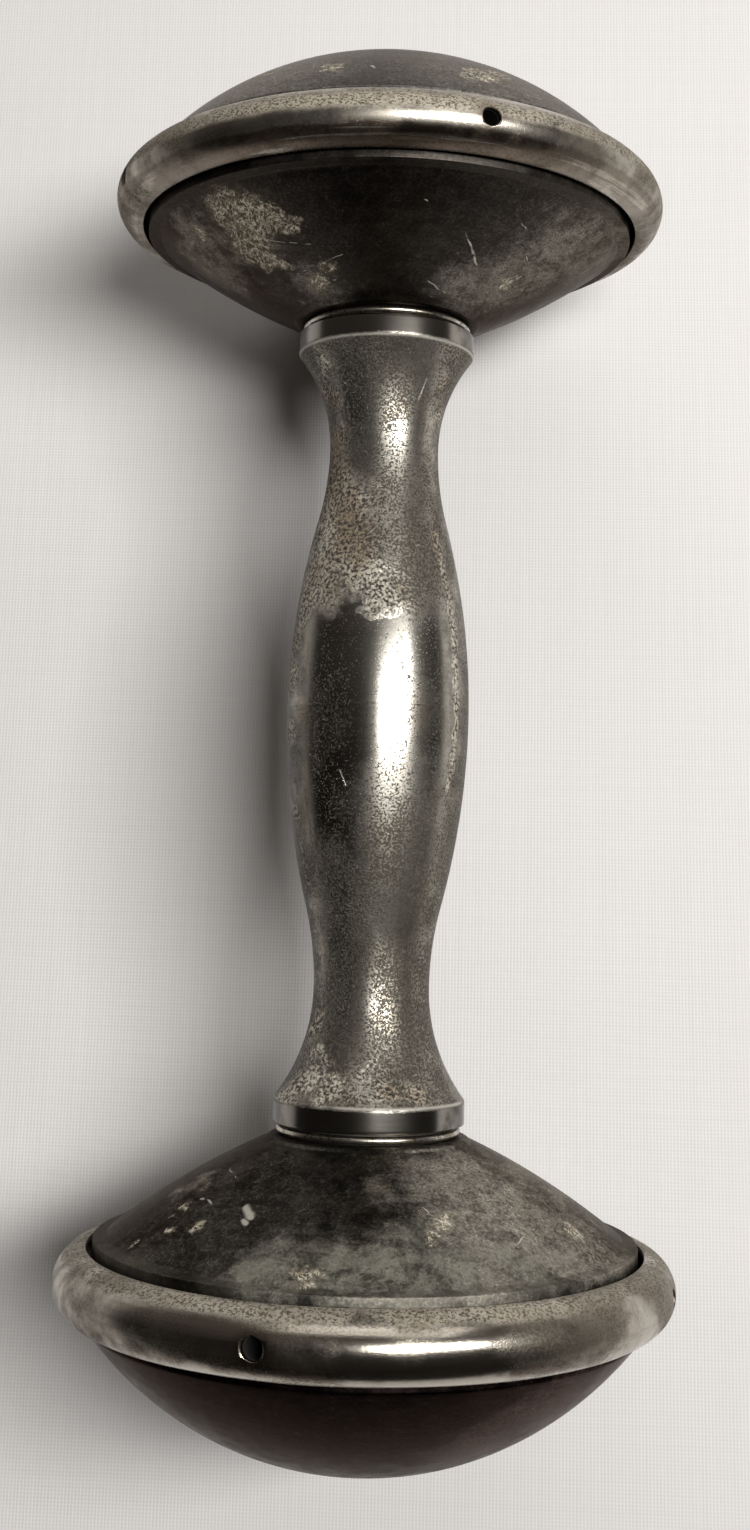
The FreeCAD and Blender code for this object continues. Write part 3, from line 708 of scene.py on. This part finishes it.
def plug_nickel():
    g = Graph("plug_nickel")
    turned = g.noise(g.scaled(2600.0, 80.0))
    film = g.noise(g.point, 300.0, detail=4.0)
    specks = g.rise(g.noise(g.point, 2300.0, detail=2.0), 0.56, 0.64)
    # painted shade: everything nearer the axis than 11.8 mm, in the groove by the bead, is darkened and
    # roughened
    groove = g.rise(g.off_axis(), 12.1 * MM, 11.8 * MM)
    colour = g.coats(
        (0.58, 0.55, 0.49),
        (g.rise(film, 0.4, 0.65), 1.0, (0.33, 0.29, 0.23)),
        (specks, 0.7, DARK_TARNISH),
        # painted shade in the groove
        (groove, 0.9, (0.05, 0.045, 0.038)))
    rough = g.plus(0.24, g.times(film, 0.12), g.times(groove, 0.3))
    return g.finish(colour, rough, g.bump(turned, 0.02 * MM, 0.5))


def scaled_colour(colour, factor):
    return tuple(factor * channel for channel in colour)


def gong_patina(name, at, dark, light, patches, bare, lines, gloss, glance, olive=0.3, ledge=0.0,
                chalky=()):
    """The gongs' dark skin, from a dark colour to a light one.

    patches lighten it, bare spots show rough pale metal, lines are scratches and chalky spots are pale
    tarnish. gloss is its least roughness, glance how much it reflects at a grazing angle, olive how
    strongly large clouds tint it and ledge how pale its turned-over edge is.
    """
    g = Graph(name)
    g.shader.inputs["Specular Tint"].default_value = (glance, glance * 0.95, glance * 0.92, 1.0)
    ragged = g.ragged(12 * MM, 260.0)
    wander = g.noise(g.point, 260.0, colour=True)
    clouds = g.noise(g.point, 75.0, detail=5.0, roughness=0.6)
    mottle = g.noise(g.point, 330.0, detail=5.0, roughness=0.7)
    grain = g.noise(g.point, 2300.0, detail=4.0, roughness=0.75)
    spun = g.noise(g.scaled(1500.0, 110.0), detail=4.0)

    def fibres(lean):
        """Fine streaks that lean to one side of the axis by an angle, 1 along the streaks."""
        turned = g.add("VectorRotate", rotation_type="Z_AXIS")
        g.put(turned.inputs["Vector"], g.point)
        turned.inputs["Angle"].default_value = math.radians(lean)
        waves = g.vector("MULTIPLY", wander, (4.0, 4.0, 4.0))
        fine = g.vector("MULTIPLY", turned.outputs["Vector"], (3900.0, 430.0, 1000.0))
        streaks = g.noise(g.vector("ADD", fine, waves), roughness=0.65)
        here = g.noise(g.vector("ADD", g.point, (0.1 * lean, 0.0, 0.0)), 520.0, detail=2.0)
        return g.times(g.rise(streaks, 0.525, 0.58), g.rise(here, 0.41, 0.51))

    long_cells = g.vector("MULTIPLY", g.point, (260.0, 900.0, 500.0))
    long_cells = g.vector("ADD", long_cells, g.vector("MULTIPLY", wander, (6.0, 6.0, 6.0)))
    hairs = g.cells(long_cells, 1.0, "DISTANCE_TO_EDGE")
    lit = g.spots(ragged, at, patches, 0.75)
    area = g.spots(g.ragged(6 * MM, 420.0), at, bare, 0.8)
    strands = g.most(*(fibres(lean) for lean in (-18.0, 24.0, 62.0, -68.0)))
    thick = g.rise(g.plus(area, g.times(mottle, 0.9)), 0.55, 1.25)
    worn = g.times(thick, strands, g.rise(area, 0.0, 0.5))
    nicks = g.scratches(g.moved(wander, 1.6 * MM), at, lines)
    share = g.plus(g.times(lit, 0.45), g.times(g.rise(mottle, 0.42, 0.60), g.plus(0.14, lit), 0.55))
    share.node.use_clamp = True
    grains = g.times(g.rise(grain, 0.52, 0.62), g.plus(0.15, g.times(lit, 0.85)))
    threads = g.times(g.rise(hairs, 0.035, 0.008), g.plus(0.22, lit), g.rise(mottle, 0.40, 0.56))
    colour = g.coats(
        g.mix(share, dark, light),
        (g.rise(clouds, 0.48, 0.70), olive, scaled_colour(light, 0.6)),
        (g.times(g.rise(spun, 0.50, 0.62), g.plus(0.12, lit)), 0.45, light),
        (grains, 0.6, scaled_colour(light, 1.6)),
        (g.rise(grain, 0.47, 0.39), 0.55, (0.018, 0.016, 0.014)),
        (threads, 0.65, scaled_colour(light, 2.2)))
    if ledge:
        brim = g.times(g.rise(g.off_axis(), SHOULDER_RADIUS - 0.4 * MM, SHOULDER_RADIUS + 0.1 * MM),
                       g.rise(clouds, 0.30, 0.62))
        colour = g.mix(g.times(brim, ledge), colour, (0.22, 0.205, 0.175))
    powder = 0.0
    if chalky:
        bloom = g.spots(ragged, at, chalky, 0.85)
        powder = g.times(bloom, g.blend(g.rise(mottle, 0.40, 0.58), 0.22, 0.62))
        colour = g.mix(powder, colour, (0.235, 0.235, 0.19))
    shine = g.rise(g.noise(g.point, 1500.0, detail=2.0), 0.40, 0.60)
    colour = g.coats(
        colour,
        (area, 0.34, (0.22, 0.19, 0.13)),
        (worn, 0.92, g.mix(shine, (0.36, 0.31, 0.22), (0.74, 0.69, 0.57))),
        (nicks, 0.75, (0.66, 0.63, 0.55)))
    rough = g.plus(gloss, g.times(g.rise(mottle, 0.3, 0.7), 0.12))
    if ledge:
        rough = g.plus(rough, g.times(brim, 0.2))
    rough = g.plus(rough, g.times(g.most(worn, nicks, powder, g.times(area, 0.6)), 0.25))
    metal = g.invert(g.times(g.most(worn, nicks, powder), 0.6))
    height = g.minus(g.plus(g.times(worn, 1.4), g.times(spun, 0.3)), g.times(nicks, 0.8))
    height = g.plus(height, g.times(mottle, 0.6), g.times(grain, 0.5))
    return g.finish(colour, rough, g.bump(height, 0.06 * MM, 0.6), metal)


def inner_gong_looks(head, side):
    at = on_skin(inner_gong_outline(), side)
    if head == "a":
        patches = [(65, 66, 7), (61, 60, 7), (67, 84, 7), (64, -78, 5), (59.5, 40, 4), (66, -62, 4),
                   (58.5, -30, 3.5), (66, 180, 14)]
        bare = [(66.4, -41, 4), (65, -42, 3.8), (65.6, -33, 3), (63.4, -47, 3), (61.9, -46, 1.8),
                (64.3, -27, 1.5), (61, -40, 1.2), (66.2, -60, 1), (60, -22, 1.2), (59, -30, 1.4),
                (60.6, 60, 1.2), (64, 150, 3)]
        lines = [(0.24, (63.6, 27), (62.7, 31), (60.8, 40)), (0.12, (66.4, 8), (65.9, 14)),
                 (0.15, (58.9, 22), (58.2, 34)), (0.10, (60, -38), (61.2, -14)),
                 (0.14, (58.6, -32), (59.4, -16)), (0.10, (64, 46), (62.9, 56)),
                 (0.10, (65.8, 40), (65, 48)), (0.16, (61.5, 62), (60.4, 60)),
                 (0.10, (64.1, -44), (62.4, -24)), (0.09, (64.9, -30), (63.7, -22)),
                 (0.10, (67, -36), (64.2, -41)), (0.13, (63.5, -52), (61.2, -43))]
        return gong_patina("gong_patina_inner_a", at, (0.030, 0.0255, 0.023), (0.160, 0.145, 0.125),
                           patches, bare, lines, gloss=0.28, glance=0.5, olive=0.25, ledge=0.12)
    patches = [(60, 42, 8), (63, 50, 10), (65, 32, 8), (68.3, 6, 6), (67.5, 60, 9), (68.5, -16, 4.5),
               (68.6, 28, 5.5), (62, 90, 9), (58.5, 30, 4), (60.5, 10, 2.4), (67, 0, 4.5),
               (62.5, -66, 2.6), (66, 180, 14)]
    bare = [(64.4, -56, 0.8), (65.4, -44, 0.9), (66.2, -50, 0.8), (68.4, -58, 0.7), (63.5, 25, 1.4),
            (64.8, 20, 1.2), (66, 66, 1.6), (68.4, -8, 1.4), (63, 200, 2.5)]
    lines = [(0.75, (63, -33.5), (63.6, -29.5)), (0.55, (64, -31), (64.2, -29.5)),
             (0.22, (63.2, -57), (63, -50), (63.3, -46)), (0.10, (62, 20), (64, 24)),
             (0.12, (60.2, -60), (60.7, -50)), (0.10, (66, 40), (65, 52))]
    chalky = [(67.8, -20, 3), (67.6, -6, 4.2), (67.4, 10, 4.6), (67.6, 26, 4.2), (67.4, 40, 3.4),
              (68.2, 54, 3), (65.2, 14, 2.6)]
    return gong_patina("gong_patina_inner_b", at, (0.024, 0.023, 0.021), (0.30, 0.28, 0.24),
                       patches, bare, lines, gloss=0.30, glance=0.45, olive=0.35, ledge=0.3, chalky=chalky)


def outer_gong_looks(head, side):
    at = on_skin(outer_gong_outline(), side)
    if head == "a":
        patches = [(84, 30, 12), (84, -30, 12), (92, 90, 14), (90, 200, 12)]
        bare = [(84.5, -12, 1.8), (84.5, 25, 2.6), (86, 33, 1.9), (85.5, -34, 1.4), (90, 140, 2.2)]
        lines = [(0.28, (84, -14), (84.5, -9)), (0.30, (84.4, -2), (83.8, -1)), (0.14, (85, 8), (85, 15)),
                 (0.20, (83.6, 24), (84.2, 28)), (0.16, (84.9, 22), (84.6, 30)),
                 (0.14, (83.4, -24), (84.4, -20)), (0.14, (91, 70), (88, 110)),
                 (0.14, (94, -60), (90, -80))]
        return gong_patina("gong_patina_outer_a", at, (0.12, 0.115, 0.107), (0.25, 0.237, 0.218),
                           patches, bare, lines, gloss=0.33, glance=0.7)
    patches = [(84, 70, 8), (84, 46, 6), (88, 34, 5), (86, -90, 8), (90, 160, 12)]
    bare = [(88, 100, 1.2), (85, -110, 1.4)]
    lines = [(0.12, (90, 60), (88, 90)), (0.12, (93, -40), (90, -60)), (0.2, (86, 150), (89, 160))]
    return gong_patina("gong_patina_outer_b", at, (0.014, 0.0095, 0.0088), (0.085, 0.060, 0.054),
                       patches, bare, lines, gloss=0.27, glance=0.60, olive=0.10)


def turned_metal(name, clean, dull, roughness):
    """Metal turned in a lathe, dulled in patches: the hub, spacers, rod and strikers."""
    g = Graph(name)
    rings = g.noise(g.scaled(3000.0, 120.0))
    film = g.noise(g.point, 260.0, detail=4.0)
    specks = g.rise(g.noise(g.point, 2200.0, detail=2.0), 0.60, 0.68)
    colour = g.mix(g.rise(film, 0.35, 0.65), clean, dull)
    colour = g.mix(g.times(specks, 0.6), colour, DARK_TARNISH)
    rough = g.plus(roughness, g.times(film, 0.2))
    return g.finish(colour, rough, g.bump(g.plus(rings, g.times(specks, -0.5)), 0.02 * MM, 0.6))


def shaded_spoke_steel():
    """The spokes' steel, black and matt from 33 mm out from the axis, where the bore opens through the
    ring: painted shade in the ring's hollow.
    """
    g = Graph("spoke_steel")
    film = g.noise(g.point, 260.0, detail=4.0)
    # painted shade: black where the spokes run into the ring's hollow
    matt_and_shade = g.rise(g.off_axis(), 33.0 * MM, 35.0 * MM)
    colour = g.mix(g.rise(film, 0.35, 0.65), CLEAN_STEEL, DULL_STEEL)
    colour = g.mix(matt_and_shade, colour, (0.006, 0.005, 0.004))
    rough = g.plus(0.35, g.times(matt_and_shade, 0.5))
    return g.finish(colour, rough, metallic=g.invert(matt_and_shade))


def pressed_leather():
    g = Graph("pressed_leather", metallic=0.0)
    grain = g.cells(g.point, 1500.0, "SMOOTH_F1")
    stain = g.noise(g.point, 500.0)
    colour = g.mix(stain, (0.14, 0.075, 0.035), (0.26, 0.16, 0.085))
    return g.finish(colour, g.plus(0.6, g.times(stain, 0.2)), g.bump(grain, 0.1 * MM, 0.5))


def solder():
    g = Graph("grey_solder")
    film = g.noise(g.point, 900.0)
    colour = g.mix(film, (0.42, 0.42, 0.41), (0.22, 0.22, 0.21))
    return g.finish(colour, g.plus(0.35, g.times(film, 0.25)), g.bump(film, 0.08 * MM, 0.6))


# ------------------------------------------------------------------ pieces

def paint(thing, material):
    thing.data.materials.clear()
    thing.data.materials.append(material)


def stand_in(thing, node, material, body="frame"):
    """Let a piece ride with a body in place of a CAD node."""
    paint(thing, material)
    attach(thing, body)
    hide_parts(node)


def outside_of(outline):
    """1 on the outer skin of an outline and 0 on its inner one."""
    def share(radius, place):
        table = np.linspace(min(p for _, p in outline), max(p for _, p in outline), 200)
        skin = np.array([skin_radius(outline, p) for p in table])
        return (radius > np.interp(place, table, skin) - 0.4 * MM).astype(float)

    return share


def make_grip(head, side):
    outline = grip_outline()
    dents = {"a": [(20 * MM, 60, 3.5 * MM, 0.10 * MM), (9 * MM, -40, 3 * MM, 0.08 * MM)],
             "b": [(14 * MM, -52, 4 * MM, 0.12 * MM), (30 * MM, 40, 2.5 * MM, 0.07 * MM)]}[head]
    shape = dented(wavy(0.05 * MM, "grip"), dents, outside_of(outline))
    grip = lathe(f"grip_{head}", outline, 224, side, shape)
    stand_in(grip, f"grip_shell_{head}", grip_nickel(head, side))


def make_plug(head, side, material):
    plug = lathe(f"plug_{head}", plug_outline(), 192, side)
    stand_in(plug, f"end_plug_{head}", material)


def make_gongs(head, side):
    cone = inner_gong_outline()
    dents = {"a": [(64 * MM, 20, 5 * MM, 0.18 * MM), (62 * MM, -50, 4 * MM, 0.15 * MM)],
             "b": [(66 * MM, -30, 5 * MM, 0.18 * MM), (63 * MM, 70, 4 * MM, 0.15 * MM)]}[head]
    shape = dented(wavy(0.10 * MM, f"cone {head}"), dents, outside_of(cone))
    inner = lathe(f"cone_gong_{head}", cone, 288, side, shape)
    stand_in(inner, f"inner_gong_{head}", inner_gong_looks(head, side))
    dome = outer_gong_outline()
    outer = lathe(f"dome_gong_{head}", dome, 288, side, wavy(0.06 * MM, f"dome {head}"))
    stand_in(outer, f"outer_gong_{head}", outer_gong_looks(head, side))


def make_ring(head, side):
    ring = lathe(f"ring_{head}", ring_outline(), 360, side, wavy(0.04 * MM, f"ring {head}"))
    place = side * RING_PLACE
    drills = [bar(f"drill_{head}_{number}", HOLE_RADIUS, outward(angle, RING_LIP - 1 * MM, place),
                  outward(angle, RING_RADIUS + 2 * MM, place))
              for number, angle in enumerate(SPOKE_ANGLES[head])]
    subtract(ring, drills)
    stand_in(ring, f"rim_ring_{head}", ring_nickel(head, side))


def make_screw(head, side, material):
    screw = lathe(f"screw_{head}", screw_outline(), 96, side)
    direction = 35.0 * side
    reach = SCREW_HIGH.x * 1.2
    slot_place = side * SCREW_HIGH.y
    blade = box_cutter(f"screw_slot_{head}", outward(direction, -reach, slot_place),
                       outward(direction, reach, slot_place), 0.8 * MM, 0.9 * MM)
    subtract(screw, [blade])
    stand_in(screw, f"end_screw_{head}", material)


def box_cutter(name, start, end, width, height):
    """A long box round the line from start to end, as high along the object's axis as it is told."""
    builder = bmesh.new()
    bmesh.ops.create_cube(builder, size=1.0)
    run = end - start
    along = Vector((0, 1, 0))
    turn = Matrix((run.normalized(), along, run.normalized().cross(along))).transposed()
    size = Matrix.Diagonal((run.length, height, width, 1.0))
    builder.transform(Matrix.Translation((start + end) / 2) @ turn.to_4x4() @ size)
    mesh = bpy.data.meshes.new(name)
    bmesh.ops.recalc_face_normals(builder, faces=builder.faces)
    builder.to_mesh(mesh)
    builder.free()
    return new_object(name, mesh)


def round_edges(node, width):
    """Round a CAD node's sharp edges with a modifier."""
    bevel = node.modifiers.new("worn edges", "BEVEL")
    bevel.width = width
    bevel.segments = 2
    bevel.limit_method = "ANGLE"
    bevel.angle_limit = math.radians(40)
    smooth = node.modifiers.new("even shading", "WEIGHTED_NORMAL")
    smooth.keep_sharp = True


def make_fillets(head, side, material):
    """The solder round each spoke's foot, drawn up on to the inside of the ring."""
    steps = 40
    hollow = RING_HALF - RING_WALL
    foot = RING_LIP + 0.8 * MM
    # Each row is a loop round the spoke: its share of the way from foot to wall, and its radius in mm.
    rows = [(1.0, 2.7), (0.72, 2.35), (0.42, 2.06), (0.18, 1.90), (0.0, 1.82), (0.0, 1.70), (1.0, 1.70)]
    for number, angle in enumerate(SPOKE_ANGLES[head], start=1):
        out = outward(angle, 1.0, 0.0) - Vector((0, 0, AXIS_HEIGHT))
        along = Vector((0, 1, 0))
        across = out.cross(along)
        builder = bmesh.new()
        loops = []
        for share, radius in rows:
            loop = []
            for step in range(steps):
                turn = 2 * math.pi * step / steps
                off = (along * math.cos(turn) + across * math.sin(turn)) * radius * MM
                wall = RING_LIP + math.sqrt(hollow ** 2 - off.y ** 2)
                wall = math.sqrt(wall ** 2 - off.dot(across) ** 2) - 0.02 * MM
                loop.append(builder.verts.new(
                    outward(angle, foot + share * (wall - foot), side * RING_PLACE) + off))
            loops.append(loop)
        for near, far in zip(loops, loops[1:] + loops[:1]):
            for i in range(steps):
                builder.faces.new((near[i], near[(i + 1) % steps], far[(i + 1) % steps], far[i]))
        fillet = built(f"solder_fillet_{head}_{number}", builder)
        paint(fillet, material)
        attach(fillet, "frame")


def finish_inner_works():
    """Give the CAD nodes that stay their materials and rounded edges, of a width in mm."""
    brass = turned_metal("turned_brass", (0.62, 0.46, 0.22), (0.34, 0.24, 0.12), 0.22)
    steel = turned_metal("oiled_steel", CLEAN_STEEL, DULL_STEEL, 0.28)
    looks = [("washer", pressed_leather(), 0.15), ("spokes", shaded_spoke_steel(), 0.1)]
    looks += [(word, brass, 0.15) for word in ("spacer", "hub", "ball")]
    looks += [(word, steel, 0.1) for word in ("tie_rod", "sleeve", "striker_pin", "striker_arm")]
    for name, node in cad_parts.items():
        for word, material, width in looks:
            if word in name:
                paint(node, material)
                round_edges(node, width * MM)
    return steel


# ------------------------------------------------------------------ floor, light and camera

def make_floor():
    width, length = 1.6, 2.0
    builder = bmesh.new()
    bmesh.ops.create_grid(builder, x_segments=1, y_segments=1, size=0.5)
    mesh = bpy.data.meshes.new("sheet")
    builder.transform(Matrix.Diagonal((width, length, 1.0, 1.0)))
    builder.to_mesh(mesh)
    builder.free()
    floor = new_object("sheet", mesh)
    g = Graph("cotton_sheet", metallic=0.0)
    thread_gap = 0.52 * MM
    thread = 2 * math.pi / thread_gap
    slub = g.noise(g.vector("MULTIPLY", g.point, (900.0, 25.0, 1.0)), detail=2.0)
    slub_across = g.noise(g.vector("MULTIPLY", g.point, (25.0, 900.0, 1.0)), detail=2.0)
    place = g.parts(g.point)
    warp = g.math("SINE", g.times(place["X"], thread))
    weft = g.math("SINE", g.times(place["Y"], thread))
    weave = g.plus(g.times(warp, 0.5), g.times(weft, 0.25), g.times(slub, 1.2), slub_across)
    creases = g.noise(g.vector("MULTIPLY", g.point, (10.0, 16.0, 1.0)), detail=2.0)
    shade = g.plus(g.times(slub, 0.35), g.times(slub_across, 0.25), g.times(warp, 0.20),
                   g.times(weft, 0.08))
    shade.node.use_clamp = True
    colour = g.mix(shade, (0.86, 0.845, 0.835), (0.74, 0.725, 0.72))
    cloth = g.bump(weave, 0.06 * MM, 0.5, g.bump(creases, 6 * MM, 0.25))
    g.shader.inputs["Sheen Weight"].default_value = 0.15
    g.finish(colour, 0.9, cloth)
    paint(floor, g.material)


def area_light(name, where, towards, size, power, colour):
    light = bpy.data.lights.new(name, "AREA")
    light.shape = "RECTANGLE"
    light.size, light.size_y = size
    light.energy = power
    light.color = colour
    lamp = new_object(name, light)
    lamp.location = where
    lamp.rotation_euler = (Vector(towards) - Vector(where)).to_track_quat("-Z", "Y").to_euler()


def make_lights():
    area_light("window", (0.30, 0.06, 0.68), (0.0, 0.0, 0.04), (0.14, 0.44), 5.35, (1.0, 0.985, 0.96))
    area_light("far window", (0.06, 0.72, 0.50), (0.0, 0.05, 0.04), (0.9, 0.5), 1.5, (1.0, 0.98, 0.95))
    world = bpy.data.worlds.new("room")
    world.use_nodes = True
    tree = world.node_tree
    link = tree.links.new

    def node(kind, **inputs):
        made = tree.nodes.new("ShaderNode" + kind)
        for name, value in inputs.items():
            made.inputs[name.replace("_", " ")].default_value = value
        return made

    # The room is dark overhead and behind the viewer, and brighter low down on the far side.
    way = node("SeparateXYZ")
    link(node("TexCoord").outputs["Generated"], way.inputs[0])
    far = node("MapRange", From_Min=0.0, From_Max=0.9, To_Min=0.016, To_Max=0.12)
    link(way.outputs["Y"], far.inputs["Value"])
    room = tree.nodes["Background"]
    room.inputs["Color"].default_value = (1.0, 0.86, 0.78, 1.0)
    link(far.outputs["Result"], room.inputs["Strength"])
    backdrop = node("Background", Color=(0.72, 0.70, 0.68, 1.0))
    ray = node("LightPath")
    either = node("MixShader")
    link(ray.outputs["Is Camera Ray"], either.inputs[0])
    link(room.outputs[0], either.inputs[1])
    link(backdrop.outputs[0], either.inputs[2])
    link(either.outputs[0], tree.nodes["World Output"].inputs["Surface"])
    bpy.context.scene.world = world
    bpy.context.scene.view_settings.view_transform = "Standard"


def make_camera():
    lens = bpy.data.cameras.new("camera")
    lens.lens = 43.2
    lens.sensor_width = 36.0
    lens.shift_x = -0.0116
    lens.shift_y = -0.2195
    lens.clip_start = 0.01
    camera = new_object("camera", lens)
    camera.location = (15.03 * MM, -21.41 * MM, 304.29 * MM)
    turn = (Matrix.Rotation(math.radians(3.0085), 3, "Y") @ Matrix.Rotation(math.radians(13.3666), 3, "X")
            @ Matrix.Rotation(math.radians(1.3138), 3, "Z"))
    camera.rotation_euler = turn.to_euler()
    bpy.context.scene.camera = camera


steel_finish = finish_inner_works()
plug_finish = plug_nickel()
solder_finish = solder()
for end, way in HEADS.items():
    make_grip(end, way)
    make_plug(end, way, plug_finish)
    make_gongs(end, way)
    make_ring(end, way)
    make_screw(end, way, steel_finish)
    make_fillets(end, way, solder_finish)
make_floor()
make_lights()
make_camera()
